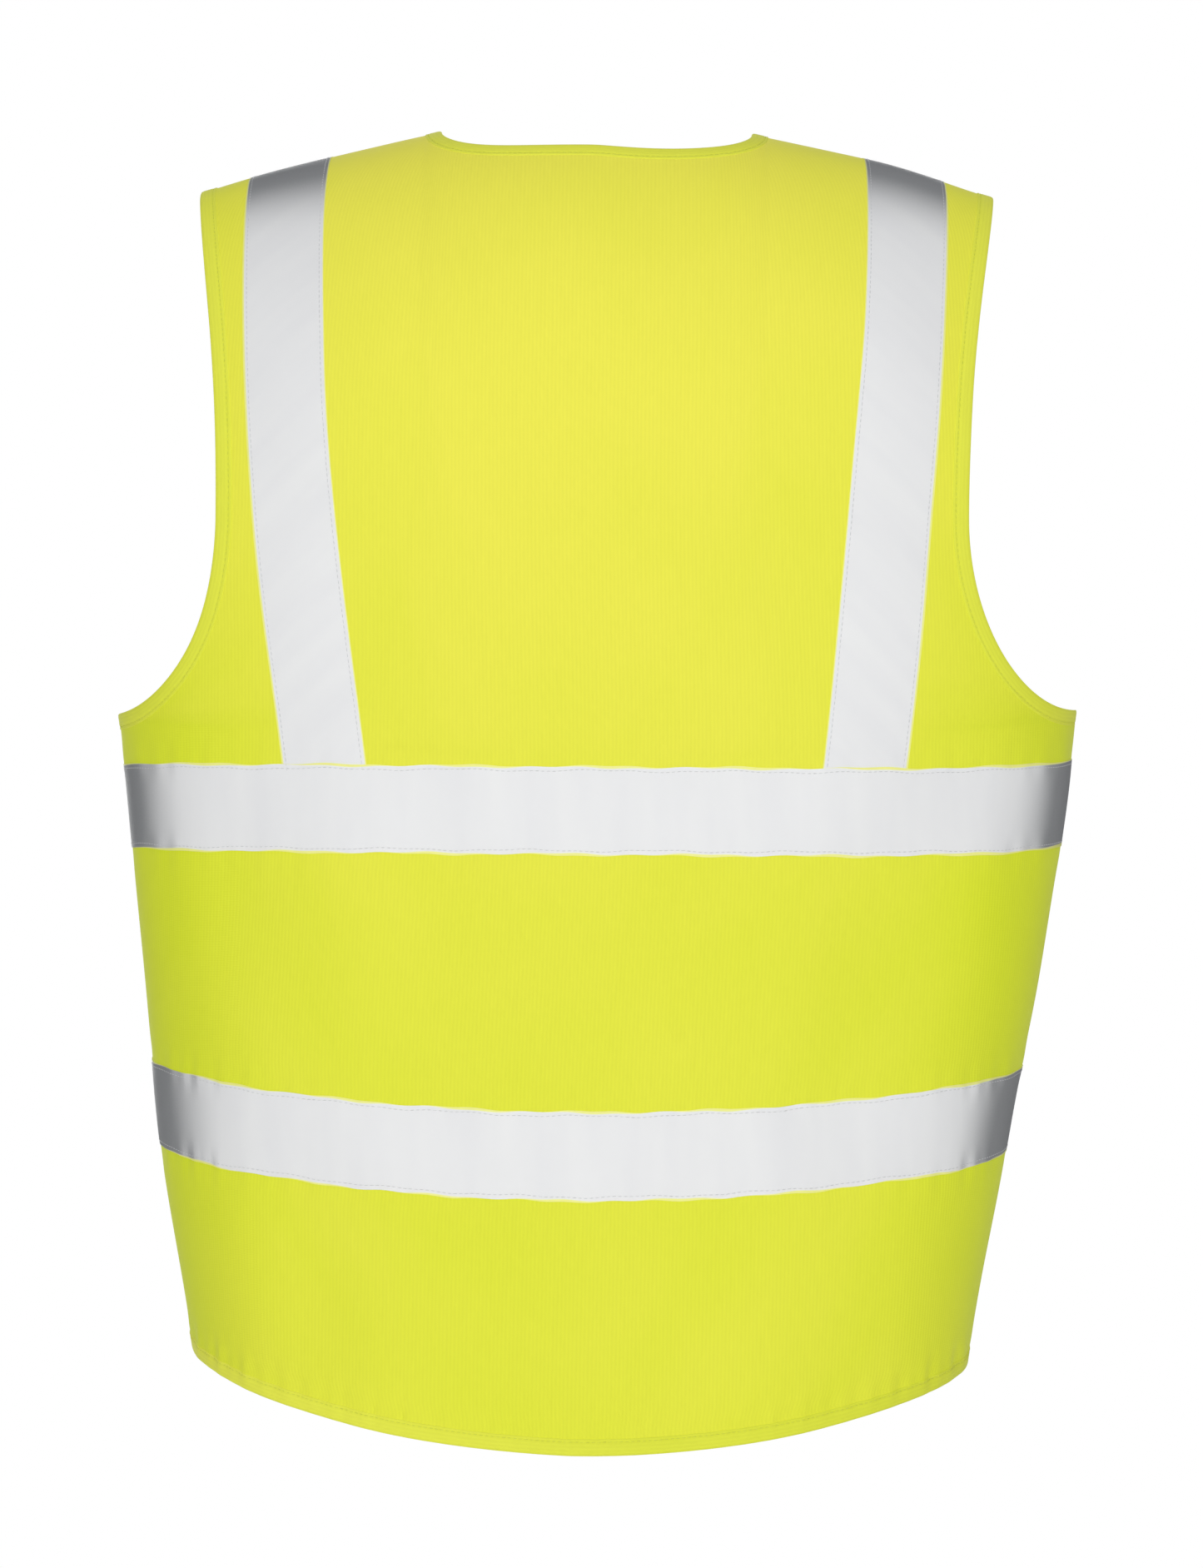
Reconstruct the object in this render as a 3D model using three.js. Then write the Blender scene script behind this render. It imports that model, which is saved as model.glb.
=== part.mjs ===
import * as THREE from 'three';

// High visibility vest: a sleeveless knitted vest with two reflective bands, two
// reflective braces over the shoulders, bound edges and an open-end zip at the front.
// Millimetres, +Z up. The wearer faces -Y and the wearer's left is +X. The origin lies
// midway between the two high shoulder points, where the shoulder seams meet the neck.

// Neck and shoulders
const neckHalfWidth = 92;
const backNeckDrop = 31;        // below the shoulder ridge line, at the centre back
const frontNeckDrop = 245;      // depth of the V neck
const shoulderHalfWidth = 235;
const shoulderDrop = 37;        // the shoulder tip is this much lower than the neck point
const ridgeArch = 1.5;          // how the shoulder line curves: 1 is straight

// Armholes
const armholeWaistDrop = 234;   // where the armhole is cut in furthest
const backArmholeHalfWidth = 214;
const frontArmholeHalfWidth = 204;
const underarmDrop = 347;
const underarmHalfWidth = 284;

// Body and hem
const sideHemDrop = 726;
const hemHalfWidth = 229;
const sideBow = 3;              // the side seams curve out this much, halfway down
const hemDip = 34;              // the hem hangs this much lower at the centre

// Cloth and trims
const clothThickness = 1.2;
const bindingWidth = 9.5;
const bindingThickness = 2.2;
const tapeWidth = 50;
const tapeThickness = 0.6;
const chestBandDrop = 401;      // centre of the band
const waistBandDrop = 594;
const waistBandDip = 19;        // the waist band hangs this much lower at the centre
const braceRidgeX = 181;        // centre of the brace on the shoulder ridge
const braceFootX = 151;         // centre of the brace at the chest band
const labelWidth = 44;
const labelHeight = 30;
const labelThickness = 0.6;
const labelBelowNeck = 5;

// Clearances
const seamGap = 0.4;            // between cloth pieces that meet at a seam or a fold
const trimGap = 0.3;            // between a cloth edge and its binding
const layerGap = 0.6;           // between the cloth and a tape sewn on it
const liningGap = 2;            // between the cloth and the label hanging inside it
const boxWall = 0.5;            // of the retainer box, past the rows' depth on each side
const zipClearance = 0.4;       // round the zip slider, between it and the rows

// Fold line of each front: from the neck edge to the hem
const foldTopDrop = 110;
const foldFootX = 140;
const foldFootDrop = 700;

// Zip
const zipOpening = 6.5;         // from the centre line to the edge of each front
const zipTopDrop = 250;
const zipEndRise = 11;           // from the hem at the centre to the top of the retainer box
const zipEndDrop = sideHemDrop + hemDip - zipEndRise;
const toothInnerX = 1;
const toothWidth = 2.4;
const toothDepth = 2.6;
const zipTapeOuterX = 16;
const zipTapeThickness = 0.8;
const pinLength = 20;
const stopLength = 2.2;
const sliderLength = 12;
const sliderHalfWidth = 5.2;
const sliderWall = 1.2;
const retainerHeight = 9;
const retainerHalfWidth = 4.4;
const pullLength = 24;
const pullHalfWidth = 2.8;
const pullEyeHalfWidth = 1.6;
const pullThickness = 1.2;
const bridgeHalfWidth = 0.8;
const bridgeThickness = 1.2;
const bridgeHalfLength = 4.7;
const hingeRise = 1.2;          // from the slider's face to the pull's hinge line

// The back and the front are two curved shells that meet at the side seams and on the
// shoulder ridge. Each rounds over the shoulder within its crown height.
const back = { sign: 1, chestDepth: 142, hemDepth: 160, crown: 180, fullness: 2.5,
  armholeHalfWidth: backArmholeHalfWidth };
const front = { sign: -1, chestDepth: 118, hemDepth: 118, crown: 150, fullness: 3,
  armholeHalfWidth: frontArmholeHalfWidth };

const cloth = () => new THREE.MeshStandardMaterial({ color: 0xd9df38, roughness: 0.85 });
const binding = () => new THREE.MeshStandardMaterial({ color: 0xc6d122, roughness: 0.8 });
const reflective = () => new THREE.MeshStandardMaterial(
  { color: 0xdcdddd, roughness: 0.5, metalness: 0.1 });
const zipCloth = () => new THREE.MeshStandardMaterial({ color: 0xcdd62c, roughness: 0.8 });
const zipPlastic = () => new THREE.MeshStandardMaterial({ color: 0xd3da2e, roughness: 0.45 });
const zipMetal = () => new THREE.MeshStandardMaterial(
  { color: 0xb9b9b6, roughness: 0.35, metalness: 0.9 });
const labelCloth = () => new THREE.MeshStandardMaterial({ color: 0xf2f1ec, roughness: 0.7 });

// ---- The form the vest hangs in ----

// Height of the shoulder ridge over a place x
function ridgeZ(x) {
  const reach = (width) => width ** ridgeArch;
  const fall = shoulderDrop / (reach(shoulderHalfWidth) - reach(neckHalfWidth));
  return fall * (reach(neckHalfWidth) - reach(Math.abs(x)));
}

// How far a height lies down the side seam: 0 at the underarm, 1 at the hem
function downSide(z) {
  return Math.max(0, (-z - underarmDrop) / (sideHemDrop - underarmDrop));
}

function halfWidth(z) {
  const down = downSide(z);
  const bow = 4 * sideBow * down * Math.max(0, 1 - down);
  return underarmHalfWidth + (hemHalfWidth - underarmHalfWidth) * down + bow;
}

function shellDepth(shell, z) {
  return shell.chestDepth + (shell.hemDepth - shell.chestDepth) * downSide(z);
}

function sectionShare(shell, x, z) {
  const across = Math.min(Math.abs(x) / halfWidth(z), 1);
  return (1 - across ** shell.fullness) ** (1 / shell.fullness);
}

function surfaceY(shell, x, z) {
  const below = Math.min(ridgeZ(x) - z, shell.crown);
  const rise = Math.sqrt(Math.max(0, 1 - (1 - below / shell.crown) ** 2));
  return shell.sign * shellDepth(shell, z) * rise * sectionShare(shell, x, z);
}

// A function that is zero on the shell and grows outwards
function shellLevel(shell, x, y, z) {
  const below = ridgeZ(x) - z;
  const depth = shellDepth(shell, z);
  if (below < shell.crown) {
    return (y / (depth * sectionShare(shell, x, z))) ** 2 + (1 - below / shell.crown) ** 2;
  }
  return (Math.abs(x) / halfWidth(z)) ** shell.fullness + (Math.abs(y) / depth) ** shell.fullness;
}

function surfaceNormal(shell, x, y, z) {
  const step = 0.02;
  const change = (dx, dy, dz) => shellLevel(shell, x + dx, y + dy, z + dz)
    - shellLevel(shell, x - dx, y - dy, z - dz);
  return new THREE.Vector3(change(step, 0, 0), change(0, step, 0), change(0, 0, step)).normalize();
}

// A knot is a point of the shell with its outward normal
function knot(shell, [x, z], leastY = 0) {
  const y = shell.sign * Math.max(leastY, Math.abs(surfaceY(shell, x, z)));
  return { point: new THREE.Vector3(x, y, z), normal: surfaceNormal(shell, x, y, z) };
}

// ---- Edge lines, as lists of [x, z] ----

const steps = (count) => Array.from({ length: count + 1 }, (_, i) => i / count);
const mix = (a, b, t) => a + (b - a) * t;

const crownRows = 8;
const scoopRows = 9;
const sideRows = 6;

// From the shoulder tip down to the underarm, moved into the cloth by inset
function armholeLine(shell, inset) {
  const tipX = shoulderHalfWidth - inset;
  const waistX = shell.armholeHalfWidth - inset;
  const tipZ = ridgeZ(tipX);
  const upper = steps(crownRows).slice(0, -1).map((t) => {
    const down = 1 - Math.cos(t * Math.PI / 2);
    return [waistX + (tipX - waistX) * (1 - down) ** 2, mix(tipZ, -armholeWaistDrop, down)];
  });
  const scoopWidth = underarmHalfWidth - waistX;
  const scoopHeight = underarmDrop - armholeWaistDrop + inset;
  const lower = steps(scoopRows).map((t) => {
    const turn = t * Math.PI / 2;
    const z = -armholeWaistDrop - scoopHeight * Math.sin(turn);
    return [halfWidth(z) - scoopWidth * Math.cos(turn), z];
  });
  return upper.concat(lower);
}

function hemZ(across) {
  return -sideHemDrop - hemDip * (1 - across ** 2);
}

// The cloth's outer edge: the armhole, then the side seam down to the hem
function outerLine(shell, inset) {
  const armhole = armholeLine(shell, inset);
  const top = armhole[armhole.length - 1][1];
  const side = steps(sideRows).slice(1).map((t) => {
    const z = mix(top, hemZ(1) + inset, t);
    return [halfWidth(z), z];
  });
  return armhole.concat(side);
}

// The lowering along the surface that takes up a given length of cloth at the back neck
function backNeckInset(inset) {
  const z = ridgeZ(0) - backNeckDrop;
  const lean = surfaceY(back, 0, z - 1) - surfaceY(back, 0, z);
  return inset / Math.hypot(1, lean);
}

const neckColumns = 8;

// Right half of the back neck, from the neck point to the centre back
function backNeckLine(inset) {
  const drop = backNeckDrop + backNeckInset(inset);
  return steps(neckColumns).map((t) => {
    const turn = t ** 2 * Math.PI / 2;
    const x = (neckHalfWidth + inset) * Math.cos(turn);
    return [x, ridgeZ(x) - drop * Math.sin(turn)];
  });
}

const neckLean = (neckHalfWidth - zipOpening) / frontNeckDrop;

function frontNeckX(z, inset) {
  return neckHalfWidth + neckLean * z + inset * Math.hypot(1, neckLean);
}

const meetingRounds = 30;       // rounds that settle where two lines meet

// Where the inset front neck edge meets the shoulder ridge
function neckPointX(inset) {
  let x = neckHalfWidth + inset;
  for (let i = 0; i < meetingRounds; i += 1) {
    x = frontNeckX(ridgeZ(x), inset);
  }
  return x;
}

const foldTopX = frontNeckX(-foldTopDrop, 0);
const foldLean = (foldFootX - foldTopX) / (foldFootDrop - foldTopDrop);

function foldX(z) {
  return foldTopX - foldLean * (z + foldTopDrop);
}

// Height at which the inset neck edge meets the fold line
function foldMeetZ(inset) {
  const reach = neckHalfWidth + inset * Math.hypot(1, neckLean);
  return -(reach - foldTopX + foldLean * foldTopDrop) / (neckLean + foldLean);
}

// Height at which the inset neck edge meets the front edge beside the zip
function frontEdgeTopZ(inset) {
  return -frontNeckDrop - inset * Math.hypot(1, neckLean) / neckLean;
}

const arcSteps = 40;            // short steps that measure the girth, for each column

// Evenly spaced places along the girth, from one share of the half width to another
function girthLine(shell, heightAt, from, to, count) {
  const fine = arcSteps * count;
  const place = (across) => {
    const z = heightAt(across);
    return [across * halfWidth(z), z];
  };
  const roundShare = (t) => Math.sin(mix(Math.asin(from), Math.asin(to), t));
  const lengths = [0];
  const shares = steps(fine).map(roundShare);
  for (let i = 1; i <= fine; i += 1) {
    const a = knot(shell, place(shares[i - 1])).point;
    const b = knot(shell, place(shares[i])).point;
    lengths.push(lengths[i - 1] + a.distanceTo(b));
  }
  return steps(count).map((t) => {
    const wanted = t * lengths[fine];
    const i = Math.min(Math.max(lengths.findIndex((length) => length >= wanted), 1), fine);
    const part = (wanted - lengths[i - 1]) / (lengths[i] - lengths[i - 1]);
    return place(mix(shares[i - 1], shares[i], part));
  });
}

// Share of the half width at which a level line meets a line given as x over height
function shareAt(heightAt, lineX) {
  let across = 0;
  for (let i = 0; i < meetingRounds; i += 1) {
    const z = heightAt(across);
    across = lineX(z) / halfWidth(z);
  }
  return across;
}

// ---- Solids ----

const topFade = 2;              // how fast the shape of a panel's top line dies out downwards

// Fills the inside of four edge lines: top and bottom run one way, left and right the other.
// The filling is even in the turn round the body and in height.
function patch(top, bottom, left, right) {
  const turned = (line) => line.map(([x, z]) => (
    [Math.asin(Math.max(-1, Math.min(1, x / halfWidth(z)))), z]));
  const [t, b, l, r] = [top, bottom, left, right].map(turned);
  const rows = l.length - 1;
  const columns = t.length - 1;
  return l.map((_, i) => t.map((__, j) => {
    const u = j / columns;
    const v = i / rows;
    const [turn, z] = [0, 1].map((k) => mix(l[i][k], r[i][k], u)
      + (t[j][k] - mix(t[0][k], t[columns][k], u)) * (1 - v) ** topFade
      + (b[j][k] - mix(b[0][k], b[columns][k], u)) * v);
    return [Math.sin(turn) * halfWidth(z), z];
  }));
}

// A closed solid round a grid of knots, from one offset along the normals to another
function sheetGeometry(grid, inner, outer, closed = false) {
  const rows = grid.length;
  const last = grid[0].length - 1;
  const positions = [outer, inner].flatMap((offset) => grid.flat().flatMap(
    ({ point, normal }) => point.clone().addScaledVector(normal, offset).toArray()));
  const at = (layer, r, c) => (layer * rows + (r % rows)) * (last + 1) + c;
  const faces = [];
  const quad = (a, b, c, d) => faces.push([a, b, c], [a, c, d]);
  const spans = closed ? rows : rows - 1;
  for (let r = 0; r < spans; r += 1) {
    for (let c = 0; c < last; c += 1) {
      quad(at(0, r, c), at(0, r + 1, c), at(0, r + 1, c + 1), at(0, r, c + 1));
      quad(at(1, r, c), at(1, r, c + 1), at(1, r + 1, c + 1), at(1, r + 1, c));
    }
    quad(at(0, r, 0), at(1, r, 0), at(1, r + 1, 0), at(0, r + 1, 0));
    quad(at(0, r, last), at(0, r + 1, last), at(1, r + 1, last), at(1, r, last));
  }
  for (let c = 0; !closed && c < last; c += 1) {
    quad(at(0, 0, c), at(0, 0, c + 1), at(1, 0, c + 1), at(1, 0, c));
    quad(at(0, rows - 1, c), at(1, rows - 1, c), at(1, rows - 1, c + 1), at(0, rows - 1, c + 1));
  }
  const [a, b, c] = [grid[0][0], grid[1][0], grid[1][1]];
  const facing = b.point.clone().sub(a.point).cross(c.point.clone().sub(a.point)).dot(a.normal);
  const geometry = new THREE.BufferGeometry();
  geometry.setAttribute('position', new THREE.Float32BufferAttribute(positions, 3));
  geometry.setIndex((facing > 0 ? faces : faces.map((face) => face.reverse())).flat());
  return geometry;
}

const vest = new THREE.Group();

function add(name, geometry, material) {
  const mesh = new THREE.Mesh(geometry, material);
  mesh.name = name;
  vest.add(mesh);
  return mesh;
}

function mirrored(grid) {
  const flip = (vector) => new THREE.Vector3(-vector.x, vector.y, vector.z);
  return grid.map((row) => row.map(({ point, normal }) => (
    { point: flip(point), normal: flip(normal) })));
}

// Adds the same sheet on the wearer's left and right
function addPair(name, grid, inner, outer, material, closed = false) {
  add(`left_${name}`, sheetGeometry(grid, inner, outer, closed), material());
  add(`right_${name}`, sheetGeometry(mirrored(grid), inner, outer, closed), material());
}

const clothHalf = clothThickness / 2;
const bindingHalf = bindingThickness / 2;
const tapeInner = clothHalf + layerGap;
const tapeOuter = tapeInner + tapeThickness;
const clothInset = bindingWidth + trimGap;
const mirrorLine = (line) => line.map(([x, z]) => [-x, z]);

// ---- Cloth panels ----

const hemColumns = 12;
const foldGap = seamGap / 2;

function backPanel() {
  const ridge = steps(hemColumns - neckColumns).map((t) => {
    const x = mix(shoulderHalfWidth - clothInset, neckHalfWidth + clothInset, t);
    return [x, ridgeZ(x)];
  });
  const leftHalf = ridge.concat(backNeckLine(clothInset).slice(1));
  const top = leftHalf.concat(mirrorLine(leftHalf).reverse().slice(1));
  const hem = (across) => hemZ(across) + clothInset;
  const bottom = girthLine(back, hem, 1, -1, 2 * hemColumns);
  const outer = outerLine(back, clothInset);
  const grid = patch(top, bottom, outer, mirrorLine(outer))
    .map((row) => row.map((place) => knot(back, place, seamGap / 2)));
  add('back_panel', sheetGeometry(grid, -clothHalf, clothHalf), cloth());
}

const innerUpperRows = 6;
const sidePanelColumns = 9;

// Shoulder, armhole and side of each front, as far as the fold line
function frontSidePanels() {
  const innerX = neckPointX(clothInset);
  const ridge = steps(sidePanelColumns).map((t) => {
    const x = mix(innerX, shoulderHalfWidth - clothInset, t);
    return [x, ridgeZ(x)];
  });
  const hem = (across) => hemZ(across) + clothInset;
  const foldShare = shareAt(hem, (z) => foldX(z) + foldGap);
  const bottom = girthLine(front, hem, foldShare, 1, sidePanelColumns);
  const outer = outerLine(front, clothInset);
  const corner = foldMeetZ(clothInset);
  const upper = steps(innerUpperRows).slice(0, -1).map((t) => {
    const z = mix(ridgeZ(innerX), corner, 1 - Math.cos(t * Math.PI / 2));
    return [frontNeckX(z, clothInset), z];
  });
  const lower = steps(outer.length - 1 - innerUpperRows).map((t) => {
    const z = mix(corner, bottom[0][1], t);
    return [foldX(z) + foldGap, z];
  });
  const grid = patch(ridge, bottom, upper.concat(lower), outer)
    .map((row) => row.map((place) => knot(front, place, seamGap / 2)));
  addPair('front_side_panel', grid, -clothHalf, clothHalf, cloth);
}

const flapColumns = 5;
const flapNeckRows = 5;
const flapRows = 15;
const flapTipWidth = 3;

// Height at which the inset neck edge and the fold line are a given width apart
function flapTopZ(inset, width) {
  return foldMeetZ(inset) - width / (neckLean + foldLean);
}

// The part of each front that swings open
function frontPanels() {
  const hem = (across) => hemZ(across) + clothInset;
  const edgeX = (z) => Math.max(frontNeckX(z, clothInset), zipOpening);
  const foldShare = shareAt(hem, (z) => foldX(z) - foldGap);
  const edgeShare = shareAt(hem, () => zipOpening);
  const bottom = girthLine(front, hem, edgeShare, foldShare, flapColumns);
  const topZ = flapTopZ(clothInset, flapTipWidth);
  const top = steps(flapColumns).map((t) => [mix(edgeX(topZ), foldX(topZ) - foldGap, t), topZ]);
  const cornerZ = frontEdgeTopZ(clothInset);
  const neck = steps(flapNeckRows).slice(0, -1).map((t) => mix(topZ, cornerZ, t));
  const edge = steps(flapRows - flapNeckRows).map((t) => mix(cornerZ, bottom[0][1], t));
  const left = neck.concat(edge).map((z) => [edgeX(z), z]);
  const right = steps(flapRows).map((t) => {
    const z = mix(topZ, bottom[flapColumns][1], t);
    return [foldX(z) - foldGap, z];
  });
  const grid = patch(top, bottom, left, right)
    .map((row) => row.map((place) => knot(front, place)));
  addPair('front_panel', grid, -clothHalf, clothHalf, cloth);
}

// ---- Bindings: folded strips of the same cloth round every raw edge ----

function strip(shell, edge, inside) {
  return edge.map((place, i) => [knot(shell, place), knot(shell, inside[i])]);
}

function armholeBindings() {
  const backStrip = strip(back, armholeLine(back, 0), armholeLine(back, bindingWidth));
  const frontStrip = strip(front, armholeLine(front, 0), armholeLine(front, bindingWidth));
  const grid = backStrip.concat(frontStrip.slice(1, -1).reverse());
  addPair('armhole_binding', grid, -bindingHalf, bindingHalf, binding, true);
}

const neckRows = 6;

// Front neck edge from the shoulder ridge down to the fold line
function upperNeckLine(inset) {
  const footZ = foldMeetZ(inset);
  return steps(neckRows).slice(1).map((t) => {
    const z = footZ * (1 - Math.cos(t * Math.PI / 2));
    return [frontNeckX(z, inset), z];
  }).map(([x, z], i) => (i < neckRows - 1 ? [x, z] : [foldX(z) + foldGap, z]));
}

function neckBinding() {
  const rear = strip(back, backNeckLine(0), backNeckLine(bindingWidth));
  const fore = strip(front, upperNeckLine(0), upperNeckLine(bindingWidth));
  const half = fore.reverse().concat(rear);
  const grid = half.concat(mirrored(half).reverse().slice(1));
  add('neck_binding', sheetGeometry(grid, -bindingHalf, bindingHalf), binding());
}

// Front neck edge from the fold line down to the zip
function lowerNeckLine(inset) {
  const topZ = foldMeetZ(inset);
  const footZ = frontEdgeTopZ(inset);
  return steps(neckRows).map((t) => {
    const z = mix(topZ, footZ, t);
    return [t === 0 ? foldX(z) - foldGap : frontNeckX(z, inset), z];
  });
}

function frontNeckBindings() {
  const grid = strip(front, lowerNeckLine(0), lowerNeckLine(bindingWidth));
  addPair('front_neck_binding', grid, -bindingHalf, bindingHalf, binding);
}

// Hem edge of a stretch of the girth, raised by inset
function hemLine(shell, inset, fromX, toX, count) {
  const height = (across) => hemZ(across) + inset;
  const from = shareAt(height, fromX);
  const to = shareAt(height, toX);
  return girthLine(shell, height, from, to, count);
}

function hemBindings() {
  const rear = (inset) => girthLine(back, (across) => hemZ(across) + inset, 1, -1, 2 * hemColumns);
  const fore = (inset) => hemLine(front, inset, (z) => foldX(z) + foldGap, halfWidth,
    sidePanelColumns);
  const rearStrip = strip(back, rear(0), rear(bindingWidth));
  const foreStrip = strip(front, fore(0), fore(bindingWidth));
  const grid = foreStrip.slice(0, -1).concat(rearStrip, mirrored(foreStrip).slice(0, -1).reverse());
  add('hem_binding', sheetGeometry(grid, -bindingHalf, bindingHalf), binding());
  const flap = (inset) => hemLine(front, inset, () => zipOpening,
    (z) => foldX(z) - foldGap, flapColumns);
  addPair('front_hem_binding', strip(front, flap(0), flap(bindingWidth)),
    -bindingHalf, bindingHalf, binding);
}

// ---- Reflective tapes ----

const backBandColumns = 60;
const sideBandColumns = 20;
const frontBandColumns = 9;

// A band of tape between two lines over height, on one shell
function bandGrid(shell, heightAt, fromX, toX, count) {
  const edges = [tapeWidth / 2, -tapeWidth / 2].map((offset) => {
    const height = (across) => heightAt(across) + offset;
    return girthLine(shell, height, shareAt(height, fromX), shareAt(height, toX), count);
  });
  return edges.map((edge) => edge.map((place) => knot(shell, place, seamGap / 2)));
}

function bands(name, heightAt) {
  const backGrid = bandGrid(back, heightAt, halfWidth, (z) => -halfWidth(z), backBandColumns);
  add(`${name}_back`, sheetGeometry(backGrid, tapeInner, tapeOuter), reflective());
  const sideGrid = bandGrid(front, heightAt, (z) => foldX(z) + foldGap, halfWidth,
    sideBandColumns);
  addPair(`${name}_side`, sideGrid, tapeInner, tapeOuter, reflective);
  const frontGrid = bandGrid(front, heightAt, () => zipOpening, (z) => foldX(z) - foldGap,
    frontBandColumns);
  addPair(`${name}_front`, frontGrid, tapeInner, tapeOuter, reflective);
}

const braceCrownRows = 12;
const braceLowerRows = 3;
const braceColumns = 4;
const mostCrown = 0.9;          // of a brace's height that its closer rows may take

// Rows of one brace on one shell, from the ridge down to the chest band
function braceRows(shell) {
  const footZ = -chestBandDrop + tapeWidth / 2 + trimGap;
  const topZ = ridgeZ(braceRidgeX);
  const crownShare = Math.min(mostCrown, shell.crown / (topZ - footZ));
  const crown = steps(braceCrownRows).map((t) => crownShare * (1 - Math.cos(t * Math.PI / 2)));
  const lower = steps(braceLowerRows).slice(1).map((t) => mix(crownShare, 1, t));
  return crown.concat(lower).map((down) => {
    const x = mix(braceRidgeX, braceFootX, down);
    const z = mix(topZ, footZ, down);
    const fall = (ridgeZ(x + 1) - ridgeZ(x)) * (1 - down);
    const lean = surfaceY(shell, x + 1, z + fall) - surfaceY(shell, x, z);
    const half = tapeWidth / 2 / Math.hypot(1, lean, fall);
    return steps(braceColumns).map((t) => {
      const across = x + mix(-half, half, t);
      return knot(shell, [across, mix(ridgeZ(across), footZ, down)]);
    });
  });
}

function braces() {
  const grid = braceRows(front).slice(1).reverse().concat(braceRows(back));
  addPair('brace', grid, tapeInner, tapeOuter, reflective);
}

// ---- Label inside the back neck ----

const labelRows = 3;
const labelColumns = 4;

function careLabel() {
  const topZ = ridgeZ(0) - backNeckDrop - backNeckInset(clothInset) - labelBelowNeck;
  const grid = steps(labelRows).map((v) => steps(labelColumns).map((u) => knot(back,
    [mix(-labelWidth / 2, labelWidth / 2, u), topZ - labelHeight * v])));
  const face = -clothHalf - liningGap;
  add('care_label', sheetGeometry(grid, face - labelThickness, face), labelCloth());
}

// ---- Zip: straight down the centre front, behind the two front edges ----

const frontY = -front.chestDepth;
const zipTapeY = frontY + bindingHalf + trimGap + zipTapeThickness / 2;
const toothX = toothInnerX + toothWidth / 2;
const toothOuterX = toothInnerX + toothWidth;
const sliderTopZ = -zipTopDrop - stopLength - trimGap;
const sliderZ = sliderTopZ - trimGap - sliderLength / 2;
const rightRowTopZ = sliderZ - sliderLength / 2 - zipClearance;
const pinTopZ = -zipEndDrop + trimGap + pinLength;

function block(name, [x, y, z], [width, depth, height], material) {
  const mesh = add(name, new THREE.BoxGeometry(width, depth, height), material());
  mesh.position.set(x, y, z);
  return mesh;
}

// An outline in X and Z, given thickness along Y about a middle plane
function plate(name, outline, holes, y, thickness, material) {
  const shape = new THREE.Shape(outline.map(([x, z]) => new THREE.Vector2(x, z)));
  shape.holes = holes.map((hole) => new THREE.Path(hole.map(([x, z]) => new THREE.Vector2(x, z))));
  const geometry = new THREE.ExtrudeGeometry(shape, { depth: thickness, bevelEnabled: false });
  geometry.rotateX(Math.PI / 2);
  const mesh = add(name, geometry, material());
  mesh.position.y = y + thickness / 2;
  return mesh;
}

function zipTapes() {
  const inner = toothOuterX + trimGap;
  const outer = zipTapeOuterX;
  const top = -zipTopDrop;
  const foot = -zipEndDrop + trimGap;
  const clear = sliderHalfWidth + zipClearance;
  plate('left_zip_tape', [[inner, top], [inner, foot], [outer, foot], [outer, top]], [],
    zipTapeY, zipTapeThickness, zipCloth);
  plate('right_zip_tape', [[-inner, rightRowTopZ], [-inner, foot], [-outer, foot], [-outer, top],
    [-clear, top], [-clear, rightRowTopZ]], [], zipTapeY, zipTapeThickness, zipCloth);
}

function zipRow(side, name, topZ, footZ, material) {
  const size = [toothWidth, toothDepth, topZ - footZ];
  block(name, [side * toothX, zipTapeY, (topZ + footZ) / 2], size, material);
}

function zipRows() {
  zipRow(1, 'left_zip_top_stop', -zipTopDrop, -zipTopDrop - stopLength, zipMetal);
  zipRow(-1, 'right_zip_top_stop', rightRowTopZ, rightRowTopZ - stopLength, zipMetal);
  zipRow(1, 'left_zip_teeth', sliderTopZ, pinTopZ + trimGap, zipPlastic);
  zipRow(-1, 'right_zip_teeth', rightRowTopZ - stopLength - trimGap, pinTopZ + trimGap, zipPlastic);
  zipRow(1, 'zip_retainer_pin', pinTopZ, -zipEndDrop + trimGap, zipPlastic);
  zipRow(-1, 'zip_insertion_pin', pinTopZ, -zipEndDrop + trimGap, zipPlastic);
  block('zip_retainer_box', [0, zipTapeY, -zipEndDrop - retainerHeight / 2],
    [2 * retainerHalfWidth, toothDepth + 2 * boxWall, retainerHeight], zipPlastic);
}

// The slider's section: two plates joined by a web between the rows, with lips that hold
// the rows in and leave slots for the tapes.
const channelHalf = toothDepth / 2 + zipClearance;
const sliderFar = channelHalf + sliderWall;

function sliderBody() {
  const web = toothInnerX - zipClearance;
  const lip = toothOuterX + zipClearance;
  const slot = zipTapeThickness / 2 + zipClearance;
  const rear = [[sliderHalfWidth, sliderFar], [sliderHalfWidth, slot], [lip, slot],
    [lip, channelHalf], [web, channelHalf]];
  const right = rear.map(([x, y]) => [x, -y]).concat([...rear].reverse());
  const outline = right.concat(right.map(([x, y]) => [-x, y]).reverse());
  const shape = new THREE.Shape(outline.map(([x, y]) => new THREE.Vector2(x, y)));
  const geometry = new THREE.ExtrudeGeometry(shape, { depth: sliderLength, bevelEnabled: false });
  const mesh = add('zip_slider', geometry, zipMetal());
  mesh.position.set(0, zipTapeY, sliderZ - sliderLength / 2);
}

const sliderFaceY = zipTapeY - sliderFar;
const hingeY = sliderFaceY - hingeRise;

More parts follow.
